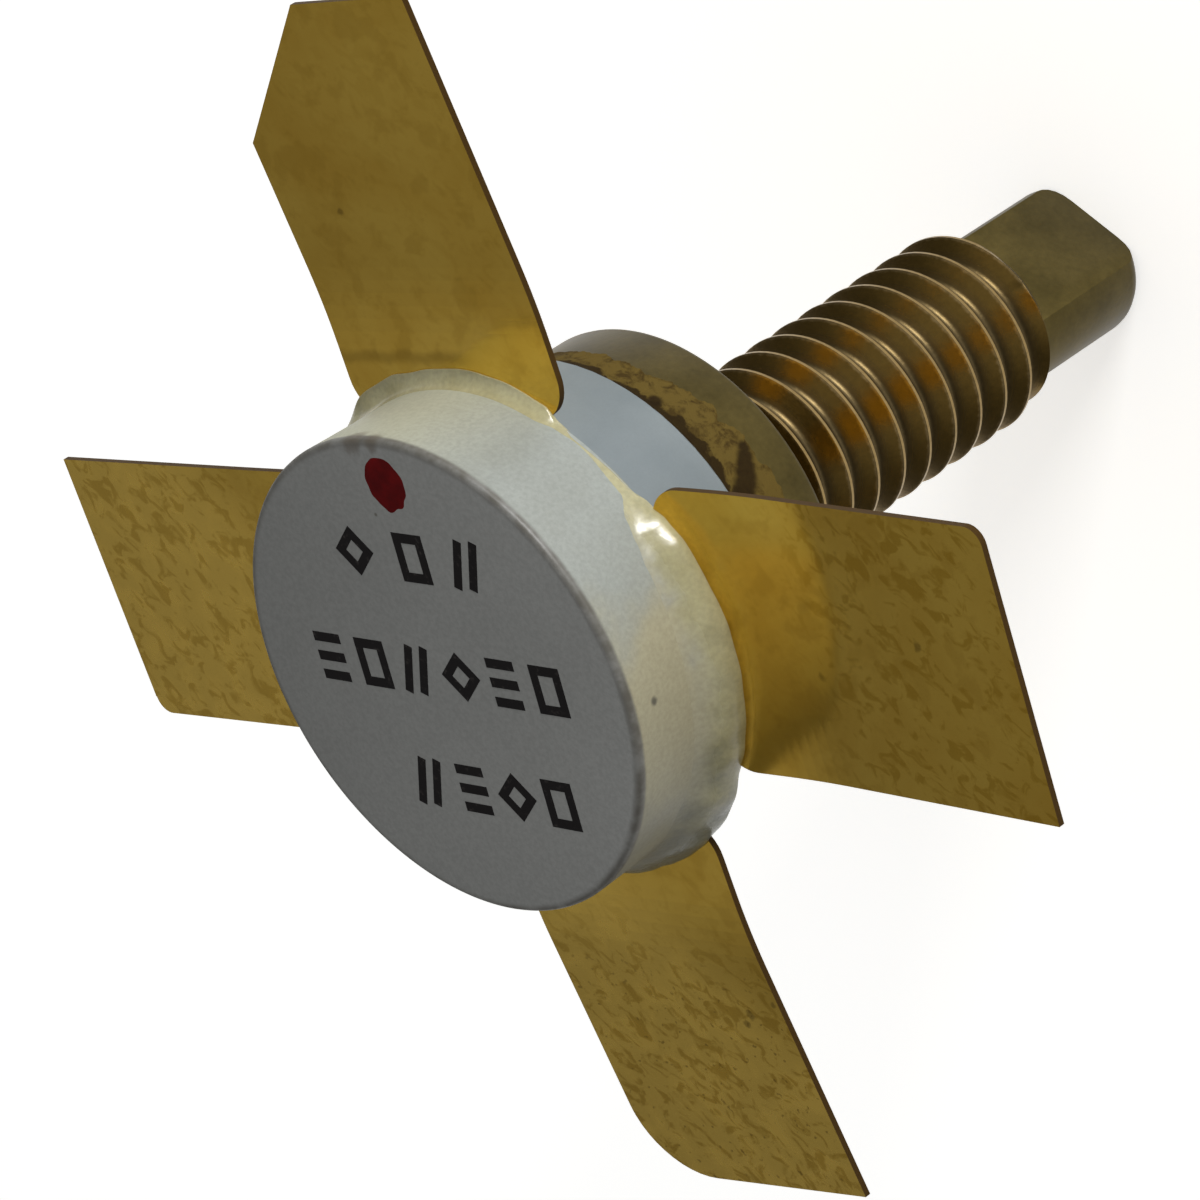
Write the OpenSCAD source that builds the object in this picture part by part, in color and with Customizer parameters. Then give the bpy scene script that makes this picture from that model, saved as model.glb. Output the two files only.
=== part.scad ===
// RF power transistor: strip-line leads, alumina cap and a threaded mounting stud.
// Z = 0 is the seat, the face of the flange that is clamped to a heat sink.
// The stud points down, the cap faces up and the collector lead points along +Y.

/* [Stud] */
// Diameter of the round flange
flange_d = 8.15; // [7.4:0.05:9]
// Thickness of the flange
flange_t = 2; // [1.2:0.1:3]
// Bevel on both rims of the flange
flange_bevel = 0.12; // [0.05:0.01:0.3]
// Outer diameter of the thread
thread_d = 4.12; // [3:0.02:5]
// Length of the threaded shank below the seat
thread_len = 9.4; // [6:0.1:14]
// Distance from one crest of the thread to the next
thread_pitch = 0.794; // [0.5:0.001:1.3]
// Depth of the thread
thread_depth = 0.46; // [0.2:0.01:0.6]
// Width of the flat on each crest
crest_w = 0.1; // [0.05:0.01:0.2]
// Width of the flat at the bottom of each groove
root_flat = 0.16; // [0.05:0.01:0.3]
// Bevel at the end of the thread
thread_bevel = 0.45; // [0.2:0.05:0.8]

/* [Wrench tang] */
// Diameter of the turned end that the flats are cut in
tang_d = 3.25; // [2.4:0.05:3.6]
// Distance across the two flats
tang_flats = 2.1; // [1.4:0.05:2.3]
// Length of the tang
tang_len = 3.2; // [2:0.1:4]
// Bevel at the end of the tang
tang_bevel = 0.35; // [0.05:0.05:0.5]
// Turn of the flats about the stud, degrees from +X
tang_angle = 50; // [0:5:90]

/* [Braze under the ceramic] */
// Thickness of the braze between flange and ceramic
braze_t = 0.06; // [0.03:0.01:0.15]
// How far the braze creeps down the side of the flange
braze_creep = 0.75; // [0.2:0.05:1]
// Thickness of the braze on the side of the flange
braze_skin = 0.04; // [0.02:0.01:0.1]
// Radius of the fillet under the overhang of the ceramic
braze_fillet = 0.22; // [0.1:0.02:0.3]

/* [Ceramic base] */
// How far the cap stands out past the ceramic disc
ceramic_inset = 0.475; // [0.2:0.025:0.8]
// Thickness of the ceramic disc
ceramic_t = 2; // [1:0.1:3]
// Bevel on the rims of the ceramic disc
ceramic_bevel = 0.08; // [0.03:0.01:0.2]

/* [Leads] */
// Width of each lead
lead_w = 5.7; // [4.8:0.05:6]
// Thickness of each lead
lead_t = 0.13; // [0.08:0.01:0.3]
// Reach of each lead from the middle of the stud
lead_reach = 12.55; // [9:0.05:16]
// How far the inner end of each lead reaches into the cavity of the cap
lead_inside = 0.625; // [0.3:0.025:1]
// Distance past the side of the cap to where a lead has its full width
shoulder_out = 0.055; // [0:0.005:0.5]
// Radius of the rounded shoulders of each lead
shoulder_r = 0.8; // [0.3:0.05:1]
// Width of a lead where it is brazed to its pad
root_w = 3.8; // [2.8:0.1:4]
// Size of the corner cut that marks the collector
corner_cut = 2.7; // [1:0.1:4]
// Radius of the rounded corner of the base lead
base_corner = 1.6; // [0.3:0.1:2.5]
// Radius of the small corners of the emitter leads
emitter_corner = 0.35; // [0.1:0.05:1]
// Slant of the cut end of the left emitter lead in degrees
left_slant_angle = 3; // [0:0.5:10]
// Distance past the epoxy to where the leads start to bend
bend_out = 0.245; // [0.1:0.005:1.5]
// Length along the lead that takes up the bend
bend_len = 1.6; // [0.6:0.1:4]
// Bend of the collector lead in degrees, up is positive
collector_bend_angle = 5.5; // [-20:0.5:20]
// Bend of the base lead in degrees
base_bend_angle = -6; // [-20:0.5:20]
// Bend of the right emitter lead in degrees
right_bend_angle = 4.5; // [-20:0.5:20]
// Bend of the left emitter lead in degrees
left_bend_angle = -1; // [-20:0.5:20]
// Sideways swing of the collector lead in degrees, towards -X is positive
collector_swing_angle = 1; // [-8:0.5:8]
// Sideways swing of the base lead in degrees, towards +X is positive
base_swing_angle = 2.5; // [-8:0.5:8]
// Sideways swing of the right emitter lead in degrees, towards +Y is positive
right_swing_angle = -1.5; // [-8:0.5:8]
// How far the base lead is brazed off the middle, towards +X is positive
base_shift = 0.2; // [-0.3:0.05:0.3]

/* [Cap] */
// Diameter of the cap
cap_d = 9.75; // [9:0.05:10.4]
// Height of the cap
cap_h = 2.42; // [1.8:0.02:3.2]
// Thickness of the top of the cap
cap_top = 0.9; // [0.5:0.05:1.3]
// Thickness of the wall of the cap
cap_wall = 1.15; // [0.7:0.05:1.4]
// Bevel round the face of the cap
cap_bevel = 0.14; // [0.05:0.01:0.3]

/* [Epoxy seal] */
// Gap between the leads and the cap, filled with epoxy
seal_gap = 0.05; // [0.02:0.01:0.15]
// How far the epoxy climbs up the cap
seal_climb = 1.15; // [0.5:0.05:1.6]
// Width of the epoxy beyond the cap, on top of the leads
seal_foot = 0.48; // [0.2:0.02:0.6]
// Width of the epoxy beyond the cap, between the leads
seal_gap_foot = 0.2; // [0.1:0.02:0.4]
// Thickness of the outer edge of the epoxy
seal_edge = 0.1; // [0.05:0.01:0.3]

/* [Pads on the ceramic] */
// Thickness of the plated pads
pad_t = 0.03; // [0.02:0.01:0.06]
// Distance from the rim of the ceramic disc in to the outer end of the pads
pad_inset = 0.2; // [0.1:0.05:0.4]
// Width of the collector pad at the die
collector_tongue_w = 2.7; // [2:0.1:2.8]
// Space between neighbouring pads
pad_space = 0.25; // [0.15:0.01:0.4]
// Width of the emitter bar that crosses between die and base pad
emitter_bar_w = 0.75; // [0.6:0.05:1.2]

/* [Chips and wires] */
// Length, width and thickness of the transistor die
die_size = [1.9, 0.65, 0.12];
// Length, width and thickness of the input capacitor
capacitor_size = [1.9, 0.5, 0.15];
// Diameter of a bond wire
wire_d = 0.05; // [0.03:0.005:0.08]
// Number of bond wires in each set
wire_count = 5; // [3:1:7]
// Space from one bond wire to the next
wire_pitch = 0.34; // [0.2:0.01:0.4]
// Distance that a wire lands in from the edge of a chip
wire_land = 0.12; // [0.08:0.01:0.16]

/* [Hidden] */
$fn = 96;

// Heights of the stack, from the seat up
ceramic_z = flange_t + braze_t;
pad_z = ceramic_z + ceramic_t;
pad_top = pad_z + pad_t;
lead_top = pad_top + lead_t;
cap_z = lead_top + seal_gap;

// Radii that several pieces share
flange_r = flange_d / 2;
cap_r = cap_d / 2;
ceramic_r = cap_r - ceramic_inset;
cavity_r = cap_r - cap_wall;

// Places along the leads and pads, from the middle out
lead_inner = cavity_r - lead_inside;
pad_outer = ceramic_r - pad_inset;
shoulder_at = cap_r + shoulder_out;
bend_at = cap_r + seal_foot + bend_out;

// Places of the pads and chips along Y: the die lies in the middle
die_y = 0;
tongue_end = die_y - die_size[1] / 2 - pad_space / 2;
bar_top = tongue_end - pad_space;
bar_y = bar_top - emitter_bar_w / 2;
base_pad_end = bar_top - emitter_bar_w - pad_space;
tongue_side = collector_tongue_w / 2 + pad_space;

gold = "goldenrod";

// Turned stud: flange, threaded shank and tang. The thread is cut as rings, one
// groove to each pitch, as deep and as wide as the real thread
module stud() {
    shank_r = thread_d / 2;
    end_z = -thread_len - tang_len;
    groove_w = thread_pitch - crest_w;
    flank = (groove_w - root_flat) / 2;
    grooves = floor((thread_len - thread_bevel - crest_w) / thread_pitch);
    color(gold) union() {
        rotate_extrude() polygon(concat(
            [[0, flange_t],
             [flange_r - flange_bevel, flange_t],
             [flange_r, flange_t - flange_bevel],
             [flange_r, flange_bevel],
             [flange_r - flange_bevel, 0],
             [shank_r, 0]],
            [for (i = [0:grooves - 1]) let (z = -crest_w - i * thread_pitch) each [
                [shank_r, z],
                [shank_r - thread_depth, z - flank],
                [shank_r - thread_depth, z - flank - root_flat],
                [shank_r, z - groove_w]]],
            [[shank_r, -thread_len + thread_bevel],
             [shank_r - thread_bevel, -thread_len],
             [0, -thread_len]]));
        intersection() {
            rotate_extrude() polygon([
                [0, -thread_len],
                [tang_d / 2, -thread_len],
                [tang_d / 2, end_z + tang_bevel],
                [tang_d / 2 - tang_bevel, end_z],
                [0, end_z]
            ]);
            rotate(tang_angle)
                translate([-tang_flats / 2, -tang_d, end_z])
                    cube([tang_flats, 2 * tang_d, tang_len]);
        }
    }
}

// Braze: a layer under the ceramic, a fillet at its overhang and a skin on the flange
module flange_braze() {
    color("darkgoldenrod") difference() {
        rotate_extrude() difference() {
            polygon([
                [0, flange_t - braze_creep],
                [flange_r + braze_skin, flange_t - braze_creep],
                [flange_r + braze_skin, ceramic_z - braze_fillet],
                [flange_r + braze_fillet, ceramic_z - braze_fillet],
                [flange_r + braze_fillet, ceramic_z],
                [0, ceramic_z]
            ]);
            translate([flange_r + braze_fillet + braze_skin / 2, ceramic_z - braze_fillet])
                circle(r = braze_fillet - braze_skin / 2);
        }
        stud();
    }
}

// Ceramic disc with lightly bevelled rims
module ceramic_base() {
    color("lightsteelblue") translate([0, 0, ceramic_z])
        bevelled_disc(ceramic_r, ceramic_t, ceramic_bevel, ceramic_bevel);
}

// Disc with a bevel on its lower and its upper rim
module bevelled_disc(r, h, low, high) {
    rotate_extrude() polygon([
        [0, 0], [r - low, 0], [r, low], [r, h - high], [r - high, h], [0, h]
    ]);
}

// Pad under a lead that points along +X, from x0 to the outer end of the pads
module pad_outline(x0) {
    translate([x0, -root_w / 2]) square([pad_outer - x0, root_w]);
}

module pad_plate() {
    translate([0, 0, pad_z]) linear_extrude(pad_t) children();
}

// Where the straight side of a wide pad has to end to clear the next pad
pad_corner = root_w / 2 + pad_space / sqrt(2);

// Collector pad with the tongue that carries the die
module collector_pad() {
    color("gold") pad_plate() {
        rotate(90) pad_outline(pad_corner);
        translate([-collector_tongue_w / 2, tongue_end])
            square([collector_tongue_w, pad_outer - tongue_end]);
    }
}

// Base pad, from its lead up to the emitter bar
module base_pad() {
    color("gold") pad_plate() {
        rotate(-90) pad_outline(pad_corner);
        translate([-collector_tongue_w / 2, -pad_outer])
            square([collector_tongue_w, pad_outer + base_pad_end]);
    }
}

// Emitter pads, joined by the bar between the die and the base pad
module emitter_pad() {
    color("gold") pad_plate() {
        for (a = [0, 180]) rotate(a) {
            pad_outline(pad_corner);
            translate([tongue_side, -root_w / 2 + pad_space])
                square([pad_outer - tongue_side, root_w - 2 * pad_space]);
        }
        translate([-pad_outer, bar_y - emitter_bar_w / 2])
            square([2 * pad_outer, emitter_bar_w]);
    }
}

// Waste at an outer corner of radius r, with the corner at the origin
module corner_waste(r) {
    difference() {
        translate([-r, -r]) square(2 * r);
        translate([-r, -r]) circle(r);
        translate([-2 * r, -2 * r]) square([r, 3 * r]);
        translate([-2 * r, -2 * r]) square([3 * r, r]);
    }
}

// Plan of a lead along +X: a narrow root, then a wide part with rounded shoulders that
// is swung sideways about them and cut off at a slant, less what the children cut off
module lead_plan(swing, shift, slant = 0) {
    wide_from = shoulder_at - shoulder_r;
    translate([0, shift]) {
        translate([lead_inner, -root_w / 2]) square([shoulder_at - lead_inner, root_w]);
        translate([shoulder_at, 0]) rotate(swing) translate([-shoulder_at, 0]) difference() {
            translate([wide_from, -lead_w / 2]) square([strip_end - wide_from, lead_w]);
            for (side = [0, 1]) mirror([0, side])
                translate([wide_from, lead_w / 2]) mirror([1, 0]) corner_waste(shoulder_r);
            translate([lead_reach, 0]) rotate(slant)
                translate([0, -lead_w]) square([lead_w, 2 * lead_w]);
            children();
        }
    }
}

// Centre line of a lead seen from the side: level, then a bend, then straight
BEND_STEPS = 6;
bend_step = bend_len / BEND_STEPS;
strip_end = lead_reach + lead_w / 2;
function sag(i, bend) = i <= 0 ? 0 : sag(i - 1, bend)
    + bend_step * tan(bend * (i - 0.5) / BEND_STEPS);
function lead_line(bend) = concat(
    [[lead_inner, 0]],
    [for (i = [0:BEND_STEPS]) [bend_at + i * bend_step, sag(i, bend)]],
    [[strip_end, sag(BEND_STEPS, bend) + (strip_end - bend_at - bend_len) * tan(bend)]]);

// Bent strip of lead stock, wider than the lead
module lead_strip(bend) {
    line = lead_line(bend);
    rise = [0, lead_t];
    translate([0, lead_w, pad_top]) rotate([90, 0, 0]) linear_extrude(2 * lead_w)
        polygon(concat(line, [for (i = [len(line) - 1:-1:0]) line[i] + rise]));
}

// A lead is its plan taken out of the bent strip; the children are cut off its plan
module lead(turn, bend, swing = 0, shift = 0, slant = 0) {
    tall = 2 * lead_reach;
    color(gold) rotate(turn) intersection() {
        lead_strip(bend);
        translate([0, 0, -tall / 2]) linear_extrude(tall)
            lead_plan(swing, shift, slant) children();
    }
}

module collector_lead() {
    lead(90, collector_bend_angle, collector_swing_angle)
        translate([lead_reach, lead_w / 2])
            rotate(45) square(corner_cut * sqrt(2), center = true);
}

module base_lead() {
    lead(-90, base_bend_angle, base_swing_angle, base_shift)
        translate([lead_reach, -lead_w / 2]) mirror([0, 1]) corner_waste(base_corner);
}

module emitter_lead_right() {
    lead(0, right_bend_angle, right_swing_angle)
        translate([lead_reach, lead_w / 2]) corner_waste(emitter_corner);
}

module emitter_lead_left() {
    lead(180, left_bend_angle, slant = left_slant_angle)
        translate([lead_reach - lead_w / 2 * tan(left_slant_angle), lead_w / 2])
            corner_waste(emitter_corner);
}

module all_leads() {
    collector_lead();
    base_lead();
    emitter_lead_right();
    emitter_lead_left();
}

module chip(size, y) {
    translate([-size[0] / 2, y - size[1] / 2, pad_top]) cube(size);
}

module transistor_die() {
    color("dimgray") chip(die_size, die_y);
}

module input_capacitor() {
    color("slategray") chip(capacitor_size, bar_y);
}

// Loop of wire in the plane X = 0, from y0 at height z0 to y1 at height z1
module wire(y0, z0, y1, z1) {
    top = max(z0, z1);
    loop_r = abs(y1 - y0) / 2;
    translate([0, (y0 + y1) / 2, top]) rotate([90, 0, 90])
        rotate_extrude(angle = 180) translate([loop_r, 0]) circle(d = wire_d, $fn = 16);
    for (leg = [[y0, z0], [y1, z1]])
        if (leg[1] < top) translate([0, leg[0], leg[1]])
            cylinder(d = wire_d, h = top - leg[1], $fn = 16);
}

// A set of loops side by side
module wire_set(y0, z0, y1, z1, shift = 0) {
    for (i = [0:wire_count - 1])
        translate([(i - (wire_count - 1) / 2) * wire_pitch + shift, 0, 0])
            wire(y0, z0, y1, z1);
}

die_top = pad_top + die_size[2];
capacitor_top = pad_top + capacitor_size[2];

// From the base pad to the near side of the capacitor
module base_wires() {
    color("gold") wire_set(base_pad_end - wire_land, pad_top,
        bar_y - capacitor_size[1] / 2 + wire_land, capacitor_top);
}

// From the far side of the capacitor to the middle of the die
module capacitor_wires() {
    color("gold") wire_set(bar_y + capacitor_size[1] / 2 - wire_land, capacitor_top,
        die_y - die_size[1] / 2 + wire_land, die_top);
}

// From both ends of the die out to the emitter pads
module emitter_wires() {
    color("gold") for (a = [0, 180]) rotate(a)
        for (s = [-1, 0, 1])
            translate([0, s * wire_land, 0]) rotate(-90)
                wire(die_size[0] / 2 - wire_land, die_top,
                     tongue_side + wire_land, pad_top);
}

// Section of the epoxy bead that stands out past the cap by this much: its
// hollow side is a round scoop that runs out along the wall of the cap
module bead_section(foot) {
    edge_z = lead_top + seal_edge;
    climb = cap_z + seal_climb - edge_z;
    scoop_r = (foot * foot + climb * climb) / (2 * foot);
    difference() {
        translate([cap_r, pad_z]) square([foot, edge_z + climb - pad_z]);
        translate([cap_r + scoop_r, edge_z + climb]) circle(scoop_r, $fn = 360);
    }
}

// Section of the whole bead between two leads, with its sloping underside
module gap_section() {
    foot_r = cap_r + seal_gap_foot;
    difference() {
        union() {
            translate([cavity_r, pad_z]) square([cap_wall, cap_z - pad_z]);
            bead_section(seal_gap_foot);
        }
        polygon([[ceramic_r, pad_z], [foot_r + seal_edge, pad_z],
                 [foot_r + seal_edge, lead_top], [foot_r, lead_top]]);
    }
}

// Bead of epoxy round the cap: wide on the leads, narrow between them
module epoxy_seal() {
    color("antiquewhite") difference() {
        union() {
            rotate_extrude() gap_section();
            for (a = [0:90:270]) rotate(a) intersection() {
                rotate_extrude() bead_section(seal_foot);
                translate([0, -lead_w / 2, pad_z]) cube([cap_d, lead_w, cap_h]);
            }
        }
        all_leads();
        collector_pad();
        base_pad();
        emitter_pad();
        for (way = [[0, right_swing_angle, 0], [90, collector_swing_angle, 0], [180, 0, 0],
                    [-90, base_swing_angle, base_shift]])
            rotate(way[0]) translate([0, 0, pad_z - lead_t])
                linear_extrude(pad_t + lead_t) lead_plan(way[1], way[2]);
    }
}

// Cap: bevelled disc with a round cavity over the chips
module cap() {
    color("gainsboro") translate([0, 0, cap_z]) difference() {
        bevelled_disc(cap_r, cap_h, cap_bevel / 2, cap_bevel);
        translate([0, 0, -cap_top]) cylinder(r = cavity_r, h = cap_h);
    }
}

stud();
flange_braze();
ceramic_base();
collector_pad();
base_pad();
emitter_pad();
collector_lead();
base_lead();
emitter_lead_right();
emitter_lead_left();
transistor_die();
input_capacitor();
base_wires();
capacitor_wires();
emitter_wires();
epoxy_seal();
cap();
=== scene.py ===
# %% [markdown]
# # A stud-mounted RF power transistor
# The part is as big as a fingernail. A gold-plated copper stud carries a disc of pale ceramic, four
# gold leads are brazed on the disc like a cross, and a white ceramic cap is glued over the middle.
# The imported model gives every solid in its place, so this script only dresses it: some solids keep
# their mesh and get a finish, and others are replaced by a piece with more shape.

# %% Load the frame
import math

import bmesh
import bpy
from mathutils import Matrix, Vector, noise


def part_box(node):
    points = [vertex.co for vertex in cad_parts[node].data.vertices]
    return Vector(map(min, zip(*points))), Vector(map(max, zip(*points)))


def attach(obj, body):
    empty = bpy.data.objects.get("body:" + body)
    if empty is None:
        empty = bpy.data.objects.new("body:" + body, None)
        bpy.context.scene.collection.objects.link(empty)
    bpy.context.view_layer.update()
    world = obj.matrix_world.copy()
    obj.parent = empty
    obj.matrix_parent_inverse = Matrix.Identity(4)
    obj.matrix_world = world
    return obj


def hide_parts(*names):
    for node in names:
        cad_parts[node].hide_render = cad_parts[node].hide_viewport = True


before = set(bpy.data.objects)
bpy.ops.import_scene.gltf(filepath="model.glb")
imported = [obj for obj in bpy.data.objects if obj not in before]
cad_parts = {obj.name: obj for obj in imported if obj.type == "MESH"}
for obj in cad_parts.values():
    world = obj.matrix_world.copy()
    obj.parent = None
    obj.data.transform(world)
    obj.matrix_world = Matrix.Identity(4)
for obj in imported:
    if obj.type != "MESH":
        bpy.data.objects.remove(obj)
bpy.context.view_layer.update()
MM = 0.001
print("solids:", ", ".join(sorted(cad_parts)))

# %% [markdown]
# ## The camera
# The photograph looks down on the cap at 37 degrees with a long lens, and the part lies on its side
# in the picture. A camera that is aimed first and rolled afterwards keeps those two things apart,
# which is easier to correct than three Euler angles.

# %% Aim and roll the camera
EYE = Vector((74.627, 34.29, 64.927)) * MM
AIM = Vector((0.879, -0.05, 3.198)) * MM
ROLL = math.radians(-123.7)
FOCAL_LENGTH = 164.27

lens = bpy.data.cameras.new("photo_camera")
lens.lens = FOCAL_LENGTH
lens.clip_start, lens.clip_end = 0.005, 20
camera = bpy.data.objects.new("photo_camera", lens)
aimed = (AIM - EYE).to_track_quat("-Z", "Y").to_matrix().to_4x4()
camera.matrix_world = Matrix.Translation(EYE) @ aimed @ Matrix.Rotation(ROLL, 4, "Z")
bpy.context.scene.collection.objects.link(camera)
bpy.context.scene.camera = camera
print("camera distance in mm:", round((AIM - EYE).length / MM, 1))

# %% [markdown]
# ## Colours and nodes
# Colours are easiest to judge as the sRGB hex values that a paint program shows, but shaders add up
# light in linear values, so one function converts them. A second one adds a node of any kind: each
# setting is a property, a socket's value, or another node's output that is linked in. Two kinds are
# needed again and again. Map Range with smooth steps makes a soft mask from a measure, and Mix lays
# one colour over another through a mask.


# %% Colour and node helpers
SOFT = {"interpolation_type": "SMOOTHSTEP"}
COLOURS = {"data_type": "RGBA"}
# A colour Mix node's sockets by number, as its names come twice
FACTOR, UNDER, OVER, RESULT = 0, 6, 7, 2


def linear(colour):
    """Linear RGBA of an sRGB colour such as "#c1a04e"."""
    parts = [int(colour[i:i + 2], 16) / 255 for i in (1, 3, 5)]
    return [c / 12.92 if c <= 0.04045 else ((c + 0.055) / 1.055) ** 2.4 for c in parts] + [1]


def add(material, kind, settings):
    """Adds a node and gives its outputs; a key is a property, a socket's name or its number."""
    tree = material.node_tree
    new = tree.nodes.new("ShaderNode" + kind)
    for key, value in settings.items():
        if key == "stops":
            for stop, (position, colour) in zip(new.color_ramp.elements, value):
                stop.position, stop.color = position, linear(colour)
        elif isinstance(value, bpy.types.NodeSocket):
            tree.links.new(value, new.inputs[key])
        elif isinstance(key, str) and key not in new.inputs:
            setattr(new, key, value)
        else:
            is_colour = isinstance(value, str)
            new.inputs[key].default_value = linear(value) if is_colour else value
    return new.outputs


def start_material(name):
    """An empty material and the object's own coordinates."""
    material = bpy.data.materials.new(name)
    material.use_nodes = True
    material.node_tree.nodes.clear()
    return material, add(material, "TexCoord", {})["Object"]


def per_mm(size):
    """Scale of a pattern whose features are this many millimetres apart."""
    return 1 / (size * MM)


print("gold in linear values:", [round(c, 3) for c in linear("#c1a04e")])

# %% [markdown]
# ## Spots
# A few stains sit where the eye would miss them if they were gone. Each is the distance to a point,
# made uneven by noise and faded to a soft round mask, and the largest of the masks wins.


# %% Spots at given places
def spots(material, place, wobble, places_and_sizes):
    """Mask of soft spots, each (x, y, z, radius) in millimetres, made uneven by wobble."""
    mask = 0
    for x, y, z, size in places_and_sizes:
        off = add(material, "VectorMath", {
            "operation": "DISTANCE", 0: place, 1: (x * MM, y * MM, z * MM)})["Value"]
        off = add(material, "Math", {
            "operation": "MULTIPLY_ADD", 0: wobble, 1: 1.4 * size * MM, 2: off})[0]
        spot = add(material, "MapRange", {
            **SOFT, "Value": off, "From Min": 1.7 * size * MM, "From Max": 1.1 * size * MM})[0]
        mask = add(material, "Math", {"operation": "MAXIMUM", 0: mask, 1: spot})[0]
    return mask


# %% [markdown]
# ## Meshes
# Nearly every piece here was turned, pressed or poured round one axis. So a section, drawn as
# pairs of radius and height, is spun once round Z. A full spin merges its last copy with its first,
# and points on the axis are merged after it, which closes the poles. What is uneven round the axis
# comes from a short table by direction, read with smooth steps between its rows.


# %% Mesh helpers
def revolve(bm, section, steps=192):
    """Spins a closed section of (radius, height) pairs in millimetres round Z."""
    points = [bm.verts.new((r * MM, 0, z * MM)) for r, z in section]
    edges = [bm.edges.new(pair) for pair in zip(points, points[1:] + points[:1])
             if pair[0].co.x > 0 or pair[1].co.x > 0]
    bmesh.ops.spin(bm, geom=points + edges, cent=(0, 0, 0), axis=(0, 0, 1), dvec=(0, 0, 0),
                   angle=2 * math.pi, steps=steps, use_merge=True)
    bmesh.ops.remove_doubles(bm, verts=bm.verts, dist=1e-4 * MM)


def between(table, degrees):
    """Values for a direction, from rows of (direction, values) from -180 to 180 degrees."""
    for low, high in zip(table, table[1:]):
        if degrees <= high[0]:
            t = (degrees - low[0]) / (high[0] - low[0])
            t = t * t * (3 - 2 * t)
            return [a + (b - a) * t for a, b in zip(low[1:], high[1:])]


def sharp_edges(bm, degrees):
    """Edges whose two faces turn by more than this."""
    return [e for e in bm.edges
            if len(e.link_faces) == 2 and e.calc_face_angle(0) > math.radians(degrees)]


def soften(bm, edges, size, segments=3):
    """Rounds edges to this many millimetres."""
    bmesh.ops.bevel(bm, geom=edges, offset=size * MM, offset_type="OFFSET", segments=segments,
                    profile=0.5, affect="EDGES", material=-1, clamp_overlap=True)


def slice_off(bm, point, outwards):
    """Cuts off what lies past a plane and closes the cut with one face."""
    cut = bmesh.ops.bisect_plane(bm, geom=bm.verts[:] + bm.edges[:] + bm.faces[:],
                                 plane_co=point, plane_no=outwards, clear_outer=True)
    bmesh.ops.contextual_create(
        bm, geom=[g for g in cut["geom_cut"] if isinstance(g, bmesh.types.BMEdge)])


def add_mesh(bm, other):
    """Adds a finished bmesh to another and frees it."""
    mesh = bpy.data.meshes.new("part")
    bmesh.ops.recalc_face_normals(other, faces=other.faces)
    other.to_mesh(mesh)
    other.free()
    bm.from_mesh(mesh)
    bpy.data.meshes.remove(mesh)


def make_piece(name, bm, material, replaces=(), sharp=35):
    """Turns a bmesh into a piece of the part, smooth except at edges over sharp degrees."""
    bmesh.ops.recalc_face_normals(bm, faces=bm.faces)
    mesh = bpy.data.meshes.new(name)
    bm.to_mesh(mesh)
    bm.free()
    mesh.shade_smooth()
    mesh.set_sharp_from_angle(angle=math.radians(sharp))
    mesh.materials.append(material)
    piece = bpy.data.objects.new(name, mesh)
    bpy.context.scene.collection.objects.link(piece)
    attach(piece, "root")
    if replaces:
        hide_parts(*replaces)
    print(name, "has", sum(len(p.vertices) - 2 for p in mesh.polygons), "triangles")


# %% [markdown]
# ## Sintered alumina
# The cap is pressed from alumina powder and fired. That leaves a dense, matt, faintly grainy white
# that scatters light like eggshell. Handling has greyed the face, most of all near the dot, and dirt
# sits on the sharp rim. The sides carry painted light and shade: a lighter cream where the soft box
# lights them less, and a greyer far end. The masks come from height and radius.
# Real grains are a few microns across, so the grain is drawn coarser, to show at all.

# %% Patterns on the alumina
CAP_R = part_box("cap")[1].x / MM
CAP_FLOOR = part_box("cap")[0].z / MM
CAP_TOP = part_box("cap")[1].z / MM

alumina, place = start_material("sintered_alumina")
grain = add(alumina, "TexNoise", {
    "Vector": place, "Scale": per_mm(0.09), "Detail": 3, "Roughness": 0.6})["Fac"]
cloud = add(alumina, "TexNoise", {
    "Vector": place, "Scale": per_mm(2.6), "Detail": 4, "Roughness": 0.55})["Fac"]
speck = add(alumina, "TexNoise", {
    "Vector": place, "Scale": per_mm(0.5), "Detail": 3, "Roughness": 0.6})["Fac"]
xyz = add(alumina, "SeparateXYZ", {"Vector": place})
flat = add(alumina, "Mapping", {"Vector": place, "Scale": (1, 1, 0)})[0]
radius = add(alumina, "VectorMath", {"operation": "LENGTH", 0: flat})["Value"]
# A wobbly measure along Y, from the clean end of the face at -Y to the end with the dot. On the
# face it sets the handling grey; on the side it sets painted light and shade
toward_dot_end = add(alumina, "Math", {
    "operation": "MULTIPLY_ADD", 0: cloud, 1: 5 * MM, 2: xyz["Y"]})[0]
print("cap radius, floor and top in mm:", [round(c, 3) for c in (CAP_R, CAP_FLOOR, CAP_TOP)])

# %% Colours of the face and the side
greyed = add(alumina, "MapRange", {
    **SOFT, "Value": toward_dot_end, "From Min": -1.5 * MM, "From Max": 5.5 * MM})[0]
face = add(alumina, "Mix", {
    **COLOURS, FACTOR: greyed, UNDER: "#8b8c89", OVER: "#7d7e7b"})[RESULT]
side = add(alumina, "ValToRGB", {
    "Fac": cloud, "stops": ((0.35, "#858983"), (0.65, "#909590"))})[0]
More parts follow.
